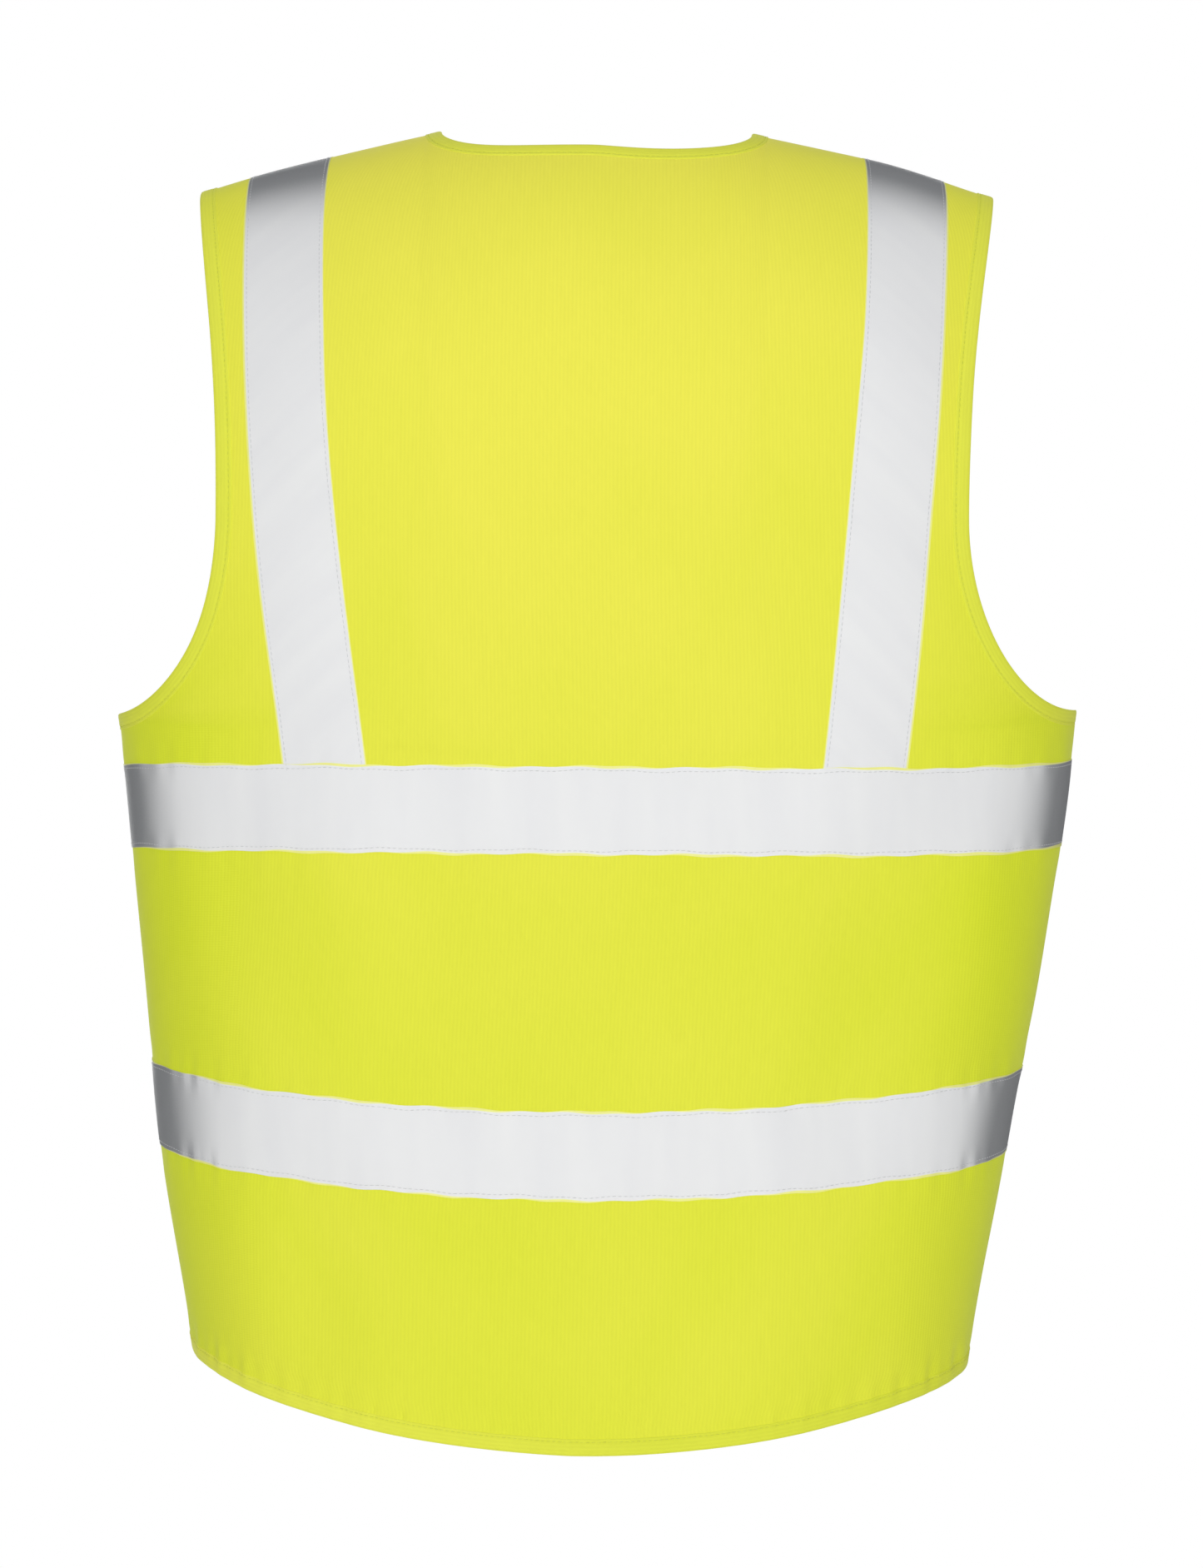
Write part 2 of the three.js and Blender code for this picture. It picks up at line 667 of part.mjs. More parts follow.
// The bridge holds the pull's cross bar against the slider. It is an arch along the slider.
function sliderBridge() {
  const foot = sliderFaceY - trimGap;
  const inside = hingeY - hingeRise;
  const crown = inside - bridgeThickness;
  const end = bridgeHalfLength;
  const span = bridgeHalfLength - bridgeThickness;
  const arch = [[foot, -end], [crown, -end], [crown, end], [foot, end], [foot, span],
    [inside, span], [inside, -span], [foot, -span]];
  const shape = new THREE.Shape(arch.map(([y, z]) => new THREE.Vector2(y, z)));
  const width = 2 * bridgeHalfWidth;
  const geometry = new THREE.ExtrudeGeometry(shape, { depth: width, bevelEnabled: false });
  geometry.applyMatrix4(new THREE.Matrix4().makeBasis(new THREE.Vector3(0, 1, 0),
    new THREE.Vector3(0, 0, 1), new THREE.Vector3(1, 0, 0)));
  const mesh = add('zip_slider_bridge', geometry, zipMetal());
  mesh.position.set(-bridgeHalfWidth, 0, sliderZ);
}

const pullRoundSteps = 8;

// The pull hangs from a cross bar under the bridge, whose lower foot passes through its eye.
function zipPull() {
  const bar = pullThickness / 2;
  const eyeFoot = -bridgeHalfLength - bridgeThickness;
  const straightEnd = pullHalfWidth - pullLength;
  const round = steps(pullRoundSteps).map((t) => [pullHalfWidth * Math.cos(t * Math.PI),
    straightEnd - pullHalfWidth * Math.sin(t * Math.PI)]);
  const outline = [[-pullHalfWidth, bar], [pullHalfWidth, bar]].concat(round);
  const eye = [[-pullEyeHalfWidth, -bar], [-pullEyeHalfWidth, eyeFoot],
    [pullEyeHalfWidth, eyeFoot], [pullEyeHalfWidth, -bar]];
  const mesh = plate('zip_pull', outline, [eye], hingeY, pullThickness, zipMetal);
  mesh.position.z = sliderZ;
}

backPanel();
frontSidePanels();
frontPanels();
armholeBindings();
neckBinding();
frontNeckBindings();
hemBindings();
bands('chest_band', () => -chestBandDrop);
bands('waist_band', (across) => -waistBandDrop + waistBandDip * across ** 2);
braces();
careLabel();
zipTapes();
zipRows();
sliderBody();
sliderBridge();
zipPull();

export default vest;
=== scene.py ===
import math
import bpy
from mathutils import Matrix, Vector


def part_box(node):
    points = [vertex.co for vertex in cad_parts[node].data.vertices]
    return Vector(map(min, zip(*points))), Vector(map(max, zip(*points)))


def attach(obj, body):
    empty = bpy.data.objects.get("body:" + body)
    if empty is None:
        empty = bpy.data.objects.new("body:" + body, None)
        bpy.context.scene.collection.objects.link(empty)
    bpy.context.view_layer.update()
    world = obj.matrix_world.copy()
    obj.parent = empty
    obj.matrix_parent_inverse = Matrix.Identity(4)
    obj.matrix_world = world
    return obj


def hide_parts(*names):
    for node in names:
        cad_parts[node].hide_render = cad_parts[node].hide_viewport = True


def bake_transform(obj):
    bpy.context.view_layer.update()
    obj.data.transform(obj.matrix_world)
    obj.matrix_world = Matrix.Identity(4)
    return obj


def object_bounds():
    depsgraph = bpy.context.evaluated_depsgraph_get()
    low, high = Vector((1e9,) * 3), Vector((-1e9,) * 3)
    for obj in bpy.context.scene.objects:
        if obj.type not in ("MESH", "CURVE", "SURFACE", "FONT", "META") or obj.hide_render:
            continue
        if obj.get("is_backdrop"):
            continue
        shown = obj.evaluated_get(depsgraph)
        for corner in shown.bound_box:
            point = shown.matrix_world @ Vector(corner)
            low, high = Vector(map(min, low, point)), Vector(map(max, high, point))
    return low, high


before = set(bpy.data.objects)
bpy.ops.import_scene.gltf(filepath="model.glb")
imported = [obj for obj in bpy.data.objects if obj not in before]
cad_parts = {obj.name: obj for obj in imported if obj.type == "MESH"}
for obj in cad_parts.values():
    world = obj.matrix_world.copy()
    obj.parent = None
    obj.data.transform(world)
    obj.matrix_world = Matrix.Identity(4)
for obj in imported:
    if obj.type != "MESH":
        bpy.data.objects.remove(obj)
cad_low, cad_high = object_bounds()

from types import SimpleNamespace

import bmesh
import bpy
import numpy as np
from mathutils import Matrix, Vector

# High visibility vest, seen from behind. Metres, +Z up. The wearer faces -Y and the
# wearer's left is +X. The origin lies midway between the two high shoulder points.

# ---- Camera ----
# It stands behind the wearer, level with the middle of the vest, and is held very
# slightly off upright.
height = cad_high.z - cad_low.z
middle_z = (cad_high.z + cad_low.z) / 2
camera_distance = 2.4
camera_side = math.radians(1.0)      # towards the wearer's right
camera_roll = math.radians(0.45)
aim = Vector((-0.0068, 0, middle_z - 0.009 * height))

camera = bpy.data.objects.new("camera", bpy.data.cameras.new("camera"))
bpy.context.scene.collection.objects.link(camera)
camera.data.lens = 92.4
camera.data.sensor_width = 36
camera.location = (-camera_distance * math.sin(camera_side),
                   camera_distance * math.cos(camera_side), middle_z)
looking = (aim - camera.location).to_track_quat("-Z", "Y")
camera.rotation_mode = "QUATERNION"
camera.rotation_quaternion = looking @ Matrix.Rotation(camera_roll, 3, "Z").to_quaternion()
bpy.context.scene.camera = camera

# ---- Light and floor ----
# Large soft lamps behind and in front of the wearer, weaker ones at the sides and above,
# in a plain white room with a pale floor.
bpy.context.scene.view_settings.view_transform = "Standard"
bpy.context.scene.view_settings.look = "None"


def lamp(name, place, size, power):
    light = bpy.data.lights.new(name, "AREA")
    light.shape = "RECTANGLE"
    light.size, light.size_y = size
    light.energy = power
    made = bpy.data.objects.new(name, light)
    made.location = Vector(place) + Vector((0, 0, middle_z))
    made.rotation_euler = (-Vector(place)).to_track_quat("-Z", "Y").to_euler()
    bpy.context.scene.collection.objects.link(made)


lamp("key_lamp", (-0.4, 3.4, 0.8), (2.8, 2.4), 64)
lamp("fill_lamp", (0.9, 3.4, -0.3), (1.6, 2.4), 24)
lamp("front_lamp", (0.4, -3.4, 0.6), (2.8, 2.4), 66)
lamp("top_lamp", (0, 0.9, 3.2), (2.4, 1.8), 12)
lamp("left_lamp", (3.2, 0.2, 0.4), (0.9, 1.8), 6)
lamp("right_lamp", (-3.2, 0.2, 0.4), (0.9, 1.8), 6)

world = bpy.data.worlds.new("room")
bpy.context.scene.world = world
world.use_nodes = True
room = world.node_tree
room.nodes.clear()
ray = room.nodes.new("ShaderNodeLightPath")
seen, lit = (room.nodes.new("ShaderNodeBackground") for _ in range(2))
either = room.nodes.new("ShaderNodeMixShader")
seen.inputs["Color"].default_value = (1, 1, 1, 1)
lit.inputs["Color"].default_value = (0.93, 0.96, 1, 1)
lit.inputs["Strength"].default_value = 0.2
room.links.new(ray.outputs["Is Camera Ray"], either.inputs[0])
room.links.new(lit.outputs[0], either.inputs[1])
room.links.new(seen.outputs[0], either.inputs[2])
room.links.new(either.outputs[0], room.nodes.new("ShaderNodeOutputWorld").inputs["Surface"])


class Sock:
    """A shader socket. Sums and products of sockets add the Math nodes that work them out."""

    def __init__(self, tree, socket=None):
        self.tree, self.socket = tree, socket

    def node(self, kind, inputs, output=0, **settings):
        made = self.tree.nodes.new("ShaderNode" + kind)
        for name, value in settings.items():
            setattr(made, name, value)
        for key, value in inputs.items():
            if isinstance(value, Sock):
                self.tree.links.new(value.socket, made.inputs[key])
            else:
                made.inputs[key].default_value = value
        return Sock(self.tree, made.outputs[output])

    def sum(self, operation, a, b=0.0):
        return self.node("Math", {0: a, 1: b}, operation=operation)

    def __add__(self, other):
        return self.sum("ADD", self, other)

    def __sub__(self, other):
        return self.sum("SUBTRACT", self, other)

    def __rsub__(self, other):
        return self.sum("SUBTRACT", other, self)

    def __mul__(self, other):
        return self.sum("MULTIPLY", self, other)

    __radd__, __rmul__ = __add__, __mul__

    def wave(self, pitch):
        """1 on each crest and 0 in each trough of a pattern that repeats every pitch."""
        return self.sum("SINE", self * (2 * math.pi / pitch)) * 0.5 + 0.5

    def step(self, low, high):
        return self.node("MapRange", {"Value": self, "From Min": low, "From Max": high},
                         interpolation_type="SMOOTHSTEP")

    def noise(self, vector, scale, detail=2):
        return self.node("TexNoise", {"Vector": vector, "Scale": scale, "Detail": detail})

    def mix(self, a, b):
        """Colour a where this socket is 0 and colour b where it is 1."""
        a, b = ((*c, 1) if isinstance(c, tuple) else c for c in (a, b))
        return self.node("Mix", {0: self, 6: a, 7: b}, output=2, data_type="RGBA")


def linear(code):
    """The linear colour of a six-digit sRGB code."""
    parts = [int(code[i:i + 2], 16) / 255 for i in (0, 2, 4)]
    return tuple(p / 12.92 if p < 0.04045 else ((p + 0.055) / 1.055) ** 2.4 for p in parts)


def finish(name, pattern, **constants):
    """A material. pattern gives the sockets of what varies. Constants are set directly."""
    material = bpy.data.materials.new(name)
    material.use_nodes = True
    tree = material.node_tree
    shader = tree.nodes["Principled BSDF"]
    for key, value in constants.items():
        shader.inputs[key.replace("_", " ")].default_value = value
    for key, value in pattern(Sock(tree)).items():
        tree.links.new(value.socket, shader.inputs[key])
    return material


def floor_pattern(s):
    place = s.node("TexCoord", {}, output=3)
    return {"Base Color": s.noise(place, 3).mix(linear("f4f4f2"), linear("fafaf8"))}


def add_piece(name, shape, material, thickness=0.0):
    """A mesh object made of a bmesh, with a wall of an even thickness about it if asked."""
    mesh = bpy.data.meshes.new(name)
    shape.to_mesh(mesh)
    shape.free()
    made = bpy.data.objects.new(name, mesh)
    bpy.context.scene.collection.objects.link(made)
    mesh.materials.append(material)
    mesh.shade_smooth()
    if thickness:
        wall = made.modifiers.new("wall", "SOLIDIFY")
        wall.thickness, wall.offset = thickness, 0
        graph = bpy.context.evaluated_depsgraph_get()
        made.data = bpy.data.meshes.new_from_object(made.evaluated_get(graph))
        made.modifiers.clear()
        made.data.name = name
        made.data.set_sharp_from_angle(angle=math.radians(35))
    return made


floor_radius, floor_z = 3.6, -1.62
disc = bmesh.new()
bmesh.ops.create_circle(disc, cap_ends=True, segments=96, radius=floor_radius,
                        matrix=Matrix.Translation((0, 0, floor_z)))
floor = add_piece("floor", disc, finish("floor_paint", floor_pattern, Roughness=0.9))
floor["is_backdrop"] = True

# ---- The form the vest hangs in ----
# A ghost form without a wearer: a back and a front shell that meet at the side seams and
# on the shoulder ridge. Every cloth piece is a place on one shell, raised by its layer.
neck_half, back_neck_drop, front_neck_drop = 0.092, 0.031, 0.245
shoulder_half, shoulder_drop, ridge_arch = 0.235, 0.037, 1.5
armhole_waist_drop, underarm_drop, side_hem_drop = 0.234, 0.347, 0.726
binding_width, binding_half = 0.0095, 0.0011
underarm_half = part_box("left_armhole_binding")[1].x - binding_half
hem_half, side_bow = 0.229, 0.003
hem_dip = -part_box("hem_binding")[0].z - side_hem_drop
zip_opening = 0.0065
fold_top_drop, fold_foot_x, fold_foot_drop = 0.110, 0.140, 0.700
back = SimpleNamespace(sign=1, chest=0.142, hem=0.160, crown=0.180, full=2.5, waist=0.214)
front = SimpleNamespace(sign=-1, chest=0.118, hem=0.118, crown=0.150, full=3.0, waist=0.204)


def ridge_z(x):
    fall = shoulder_drop / (shoulder_half ** ridge_arch - neck_half ** ridge_arch)
    return fall * (neck_half ** ridge_arch - np.abs(x) ** ridge_arch)


def down_side(z):
    return np.maximum(0, (-z - underarm_drop) / (side_hem_drop - underarm_drop))


def half_width(z):
    down = down_side(z)
    bow = 4 * side_bow * down * np.maximum(0, 1 - down)
    return underarm_half + (hem_half - underarm_half) * down + bow


def shell_y(shell, x, z):
    depth = shell.chest + (shell.hem - shell.chest) * down_side(z)
    share = (1 - np.minimum(np.abs(x) / half_width(z), 1) ** shell.full) ** (1 / shell.full)
    below = np.clip(ridge_z(x) - z, 0, shell.crown)
    return shell.sign * depth * np.sqrt(1 - (1 - below / shell.crown) ** 2) * share


def shell_level(shell, p):
    """Zero on the shell, growing outwards."""
    x, y, z = p
    depth = shell.chest + (shell.hem - shell.chest) * down_side(z)
    across = np.minimum(np.abs(x) / half_width(z), 1 - 1e-9)
    below = ridge_z(x) - z
    share = (1 - across ** shell.full) ** (1 / shell.full)
    crown = (y / (depth * share)) ** 2 + (1 - below / shell.crown) ** 2
    trunk = (np.abs(x) / half_width(z)) ** shell.full + (np.abs(y) / depth) ** shell.full
    return np.where(below < shell.crown, crown, trunk)


def shell_normal(shell, x, y, z):
    step = 2e-5
    p = np.stack([x, y, z])
    slopes = []
    for i in range(3):
        move = np.zeros_like(p)
        move[i] = step
        slopes.append(shell_level(shell, p + move) - shell_level(shell, p - move))
    slopes = np.stack(slopes, -1)
    return slopes / np.linalg.norm(slopes, axis=-1, keepdims=True)


def bump(t, centre, spread):
    return np.exp(-(((t - centre) / spread) ** 2))


chest_drop, waist_drop, waist_dip, tape_width = 0.401, 0.594, 0.019, 0.050


def hem_z(across):
    return -side_hem_drop - hem_dip * (1 - across ** 2)


def chest_z(across):
    return -chest_drop + 0 * across


def waist_z(across):
    return -waist_drop + waist_dip * across ** 2


# Soft folds of the hanging cloth: place across, place down, width, height, depth and lean.
# Across is a share of the half width, towards the wearer's left.
folds = (
    (0.47, -0.50, 0.030, 0.105, 0.0030, 0.10), (0.33, -0.47, 0.022, 0.090, -0.0018, 0.05),
    (-0.42, -0.50, 0.028, 0.110, 0.0026, -0.08), (-0.58, -0.53, 0.030, 0.080, -0.0016, -0.1),
    (0.20, -0.215, 0.026, 0.050, -0.0028, 0.25), (0.72, -0.63, 0.026, 0.120, 0.0024, 0.12),
    (-0.74, -0.62, 0.028, 0.110, 0.0020, -0.12), (0.10, -0.66, 0.040, 0.080, 0.0018, 0.0),
    (-0.25, -0.69, 0.030, 0.060, -0.0020, 0.05), (0.55, -0.70, 0.024, 0.060, -0.0022, 0.1),
    (0.86, -0.44, 0.018, 0.070, 0.0018, 0.1), (-0.86, -0.42, 0.018, 0.070, 0.0016, -0.1),
    (0.02, -0.10, 0.060, 0.060, 0.0014, 0.0), (-0.05, -0.33, 0.070, 0.070, -0.0014, 0.0))


def relief(shell, x, y, z):
    """How far the cloth stands off the form: slow folds, puckers at seams, dips at joins."""
    across = x / half_width(z)
    side = shell.sign
    raised = 0.0012 * np.sin(31 * x + 9 * z + side) * np.sin(13 * z + 2 * side)
    raised += 0.0007 * np.sin(58 * x - 21 * z + 2 * side) * np.sin(27 * z + 5 * x)
    for place, level, width, tall, depth, lean in folds:
        middle = place * side * 0.262 + lean * (z - level)
        raised = raised + depth * bump(x, middle, width) * bump(z, level, tall)
    for line, reach, depth in ((chest_z, 0.030, 0.0005), (waist_z, 0.030, 0.0006),
                               (hem_z, 0.014, 0.0011)):
        near = bump(np.abs(z - line(across)), reach - 0.002, 0.009)
        gather = np.sin(430 * x + 3 * np.sin(60 * x)) * np.sin(170 * x + 1.3 * side)
        raised = raised + depth * near * gather
    calm = np.clip(np.abs(y) / 0.03, 0, 1)
    if side < 0:
        calm = calm * np.clip((np.abs(x) - 0.012) / 0.04, 0, 1)
    return raised * calm - 0.0011 * bump(y, 0, 0.0022)


def hang(p):
    """The vest hangs a little askew: it drifts to one side and lifts at the right underarm."""
    x, y, z = (p[..., i] for i in range(3))
    wide = np.clip(np.abs(x) / underarm_half, 0, 1)
    rear = np.clip(0.5 + 10 * y, 0, 1)
    away = rear + (1 - rear) * wide ** 2
    drift = 0.0045 * np.clip((-z - 0.30) / 0.43, -0.4, 1) - 0.0055 * bump(z, -0.40, 0.13)
    lifted = np.clip(-x / underarm_half, 0, 1) ** 6
    lift = 0.0075 * lifted * bump(z, -0.38, 0.11)
    hitch = 0.006 * np.clip(x / hem_half, 0, 1) * np.clip((-z - 0.60) / 0.13, 0, 1)
    return np.stack([x + drift * away, y, z + lift + hitch], -1)


def cloth_point(shell, x, z, lift=0.0):
    y = shell_y(shell, x, z)
    normal = shell_normal(shell, x, y, z)
    raised = relief(shell, x, y, z) + lift
    return hang(np.stack([x, y, z], -1) + normal * np.asarray(raised)[..., None])


# ---- Cut lines, as places (x, z) for a share t from 0 to 1 ----

def armhole_line(shell, inset, t, slack=0.0):
    """From the shoulder tip to the underarm. slack flattens the scoop near the underarm."""
    tip_x, waist_x = shoulder_half - inset, shell.waist - inset
    upper = np.clip(2 * t, 0, 1)
    down = 1 - np.cos(upper * math.pi / 2)
    upper_x = waist_x + (tip_x - waist_x) * (1 - down) ** 2
    upper_z = ridge_z(tip_x) + (-armhole_waist_drop - ridge_z(tip_x)) * down
    turn = np.clip(2 * t - 1, 0, 1) * math.pi / 2
    lower_z = -armhole_waist_drop - (underarm_drop - armhole_waist_drop + inset) * np.sin(turn)
    lower_x = half_width(lower_z) - (underarm_half - waist_x) * np.cos(turn)
    lower_z = lower_z + slack * np.sin(2 * turn) ** 2
    return np.where(t < 0.5, upper_x, lower_x), np.where(t < 0.5, upper_z, lower_z)


def even(shell, x, z, count):
    """The places that divide a line on a shell into count equal lengths."""
    y = shell_y(shell, x, z)
    step = np.sqrt(np.diff(x) ** 2 + np.diff(y) ** 2 + np.diff(z) ** 2)
    length = np.append(0, np.cumsum(step))
    wanted = np.linspace(0, length[-1], count + 1)
    return np.stack([np.interp(wanted, length, x), np.interp(wanted, length, z)], -1)


def outer_line(shell, inset, count, slack=0.0):
    """The armhole and then the side seam."""
    x, z = armhole_line(shell, inset, np.linspace(0, 1, 600), slack)
    underarm_z = z[-1]
    seam_z = np.linspace(underarm_z, hem_z(1) + inset, 200)[1:]
    line = even(shell, np.append(x, half_width(seam_z)), np.append(z, seam_z), count)
    on_seam = line[:, 1] <= underarm_z
    line[on_seam, 0] = half_width(line[on_seam, 1])
    return line


def back_neck_line(inset, t):
    """From the left neck point to the right one."""
    turn = math.pi * np.sin(math.pi * t / 2) ** 2
    lean = shell_y(back, 0.0, -back_neck_drop - 0.001) - shell_y(back, 0.0, -back_neck_drop)
    drop = back_neck_drop + inset / math.hypot(1, lean / 0.001)
    x = (neck_half + inset) * np.cos(turn)
    return x, ridge_z(x) - drop * np.sin(turn)


neck_lean = (neck_half - zip_opening) / front_neck_drop


def front_neck_x(z, inset):
    return neck_half + neck_lean * z + inset * math.hypot(1, neck_lean)


def neck_point(inset):
    """Where the front neck edge meets the shoulder ridge."""
    x = neck_half + inset
    for _ in range(30):
        x = front_neck_x(ridge_z(x), inset)
    return x, ridge_z(x)


def front_neck_line(inset, t):
    """From the shoulder ridge down the left edge of the V to the zip."""
    z0 = neck_point(inset)[1]
    foot = -front_neck_drop - inset * math.hypot(1, neck_lean) / neck_lean
    z = z0 + (foot - z0) * t ** 2
    return front_neck_x(z, inset), z


def girth_line(shell, line, start, end, count, inset=0.0):
    """A line round the body between two shares of the half width."""
    shares = np.sin(np.linspace(np.arcsin(start), np.arcsin(end), 900))
    z = line(shares) + inset
    return even(shell, shares * half_width(z), z, count)


def fill(top, bottom, left, right):
    """Places inside four edge lines, even in the turn round the body and in height."""
    def turned(line):
        share = np.clip(line[:, 0] / half_width(line[:, 1]), -1, 1)
        return np.stack([np.arcsin(share), line[:, 1]], -1)

    def bent(line):
        along = np.linspace(0, 1, len(line))[:, None]
        return line - line[0] * (1 - along) - line[-1] * along

    top, bottom, left, right = map(turned, (top, bottom, left, right))
    u = np.linspace(0, 1, len(top))[None, :, None]
    v = np.linspace(0, 1, len(left))[:, None, None]
    inside = left[:, None] * (1 - u) + right[:, None] * u
    inside = inside + bent(top)[None] * (1 - v) ** 2 + bent(bottom)[None] * v
    z = inside[..., 1]
    return np.sin(inside[..., 0]) * half_width(z), z


def area(points):
    """Area of a grid of points."""
    a, b = np.diff(points, axis=0)[:, :-1], np.diff(points, axis=1)[:-1]
    return float(np.linalg.norm(np.cross(a, b), axis=-1).sum())


def grid_piece(name, points, material, thickness=0.0, tube=False):
    """A sheet from a grid of points. In a tube, each row runs round the strip and closes."""
    rows, columns = points.shape[0] - 1, points.shape[1] - 1
    shape = bmesh.new()
    bmesh.ops.create_grid(shape, x_segments=columns, y_segments=rows, size=0.5)
    flat = np.array([v.co for v in shape.verts])
    j = np.rint((flat[:, 0] + 0.5) * columns).astype(int)
    i = rows - np.rint((flat[:, 1] + 0.5) * rows).astype(int)
    across = np.linalg.norm(np.diff(points, axis=1), axis=-1)
    girth = np.append(np.zeros((rows + 1, 1)), np.cumsum(across, 1), 1)
    girth -= girth[:, columns // 2, None]
    down = np.linalg.norm(np.diff(points, axis=0), axis=-1)
    drop = np.append(np.zeros((1, columns + 1)), np.cumsum(down, 0), 0)
    for vert, place in zip(shape.verts, points[i, j]):
        vert.co = place
    layer = shape.loops.layers.uv.new("cloth")
    shape.verts.index_update()
    for face in shape.faces:
        for loop in face.loops:
            k = loop.vert.index
            loop[layer].uv = (girth[i[k], j[k]], -drop[i[k], j[k]])
    if tube:
        bmesh.ops.remove_doubles(shape, verts=shape.verts, dist=1e-5)
        bmesh.ops.holes_fill(shape, edges=[e for e in shape.edges if e.is_boundary])
        bmesh.ops.recalc_face_normals(shape, faces=shape.faces)
    return add_piece(name, shape, material, thickness)


# ---- Back ----
# One panel of polyester knit with fine vertical ribs, in a bright yellow that leans
# towards lime. It is cut in one piece from the shoulder seams to the curved hem.
cloth_inset, cloth_thickness = 0.0072, 0.001
rib_pitch, course_pitch = 0.0022, 0.0009


def knit(bright, deep_and_side_shade):
    def pattern(s):
        uv = s.node("UVMap", {}, uv_map="cloth")
        around = s.node("SeparateXYZ", {0: uv}, output=0)
        up = s.node("SeparateXYZ", {0: uv}, output=1)
        place = s.node("TexCoord", {}, output=2)
        # Painted shade: the knit is darker towards its sides, where the body turns away from the
        # lamps. It is also darker towards the bottom.
        lower = (up * -1).step(0.10, 0.62)
        side_shade_mask = (around * around).step(0.008, 0.085)
        cloudy = s.noise(place, 9, 3) * 0.5 - 0.25
        side_shade_and_lower_tone = s.node("Clamp", {"Value": lower * 0.55 + side_shade_mask * 0.5 + cloudy})
        ribs = around.wave(rib_pitch)
        stretched = s.node("Mapping", {"Vector": place, "Scale": (1, 0.12, 1)})
        streaks = s.noise(stretched, 420, 2)
        shade = ribs * 0.16 + streaks * 0.16 - 0.14
        colour = side_shade_and_lower_tone.mix(bright, deep_and_side_shade)
        colour = s.node("HueSaturation", {"Color": colour, "Value": shade * 0.22 + 1.0})
        height = ribs * 0.6 + up.wave(course_pitch) * 0.25 + s.noise(place, 2600, 2) * 0.5
        rough = s.node("Bump", {"Height": height, "Strength": 0.35, "Distance": 0.00025})
        # The emission of its own colour stands for the fluorescence of the dye, and is painted light
        # that lifts the knit's shade.
        return {"Base Color": colour, "Emission Color": colour, "Normal": rough}
    return pattern


# The second colour of the knit is its painted side shade and its darker lower part.
cloth = finish("hi_vis_knit", knit(linear("d0cc45"), linear("bcc624")), Roughness=0.88,
               Emission_Strength=0.36, Sheen_Weight=0.12, Sheen_Roughness=0.4,
               Specular_IOR_Level=0.25)


def panel(name, shell, top, bottom, left, right, side=1):
    """A cloth panel between four edge lines. Side -1 is the same cut turned over."""
    x, z = fill(top, bottom, left, right)
    points = cloth_point(shell, side * x, z)
    points = points if side > 0 else points[:, ::-1]
    made = grid_piece(name, points, cloth, cloth_thickness)
    return made, points


def declare_sheet(made, points, held, rests_on, with_pieces=()):
    wide = np.linalg.norm(np.diff(points, axis=1), axis=-1).sum(1).max()
    long = np.linalg.norm(np.diff(points, axis=0), axis=-1).sum(0).max()
    covered = min(area(points), wide * long)
    round(covered * 0.999, 4)


def back_top(count):
    """Left shoulder seam, neck and right shoulder seam."""
    neck_x, neck_z = back_neck_line(cloth_inset, np.linspace(0, 1, 400))
    seam_x = np.linspace(shoulder_half - cloth_inset, neck_x[0], 100)[:-1]
    x = np.concatenate([seam_x, neck_x, -seam_x[::-1]])
    z = np.concatenate([ridge_z(seam_x), neck_z, ridge_z(seam_x)[::-1]])
    return even(back, x, z, count)


back_rows, back_columns = 200, 190
outer = outer_line(back, cloth_inset, back_rows)
hem = girth_line(back, hem_z, 1, -1, back_columns, cloth_inset)
back_cloth, back_points = panel("back_cloth", back, back_top(back_columns), hem,
                                outer, outer * (-1, 1))
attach(back_cloth, "vest_body")
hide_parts("back_panel")

# ---- Fronts ----
# Two panels of the same knit, from the shoulder and side seams to the zip.
front_rows, front_columns = 190, 90
left_slack, right_slack = 0.0, 0.008


def swing(made):
    """Bakes the placement of a front piece into its mesh; the fold line of its side is worked out but
    not used.
    """
    top_x = front_neck_x(-fold_top_drop, 0)
    run = Vector((fold_foot_x - top_x, 0, fold_top_drop - fold_foot_drop)).normalized()
    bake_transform(made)


def front_lines(slack):
    seam_x = np.linspace(neck_point(cloth_inset)[0], shoulder_half - cloth_inset, 200)
    neck_x, neck_z = front_neck_line(cloth_inset, np.linspace(0, 1, 400))
    edge_z = np.linspace(neck_z[-1], hem_z(0) + cloth_inset, 200)[1:]
    return (even(front, seam_x, ridge_z(seam_x), front_columns),
            girth_line(front, hem_z, zip_opening / hem_half, 1, front_columns, cloth_inset),
            even(front, np.append(neck_x, 0 * edge_z + zip_opening),
                 np.append(neck_z, edge_z), front_rows),
            outer_line(front, cloth_inset, front_rows, slack))


fronts = {}
for side, hand, slack in ((1, "left", left_slack), (-1, "right", right_slack)):
    made, points = panel(f"{hand}_front_cloth", front, *front_lines(slack), side)
    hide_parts(f"{hand}_front_panel", f"{hand}_front_side_panel")
    swing(made)
    fronts[hand] = made, points

# ---- Bindings ----
# The raw edges at the neck, armholes and hem are turned in a folded strip of the same
# knit, about 9.5 mm wide, and held by one line of stitches near its inner edge.
# The binding has the same painted side shade, and the same painted glow from its emission, as the
# knit.
binding = finish("knit_binding", knit(linear("c8cb40"), linear("b6c024")), Roughness=0.85,
                 Emission_Strength=0.34, Sheen_Weight=0.12, Sheen_Roughness=0.4,
                 Specular_IOR_Level=0.25)
stitch_inset = 0.0078
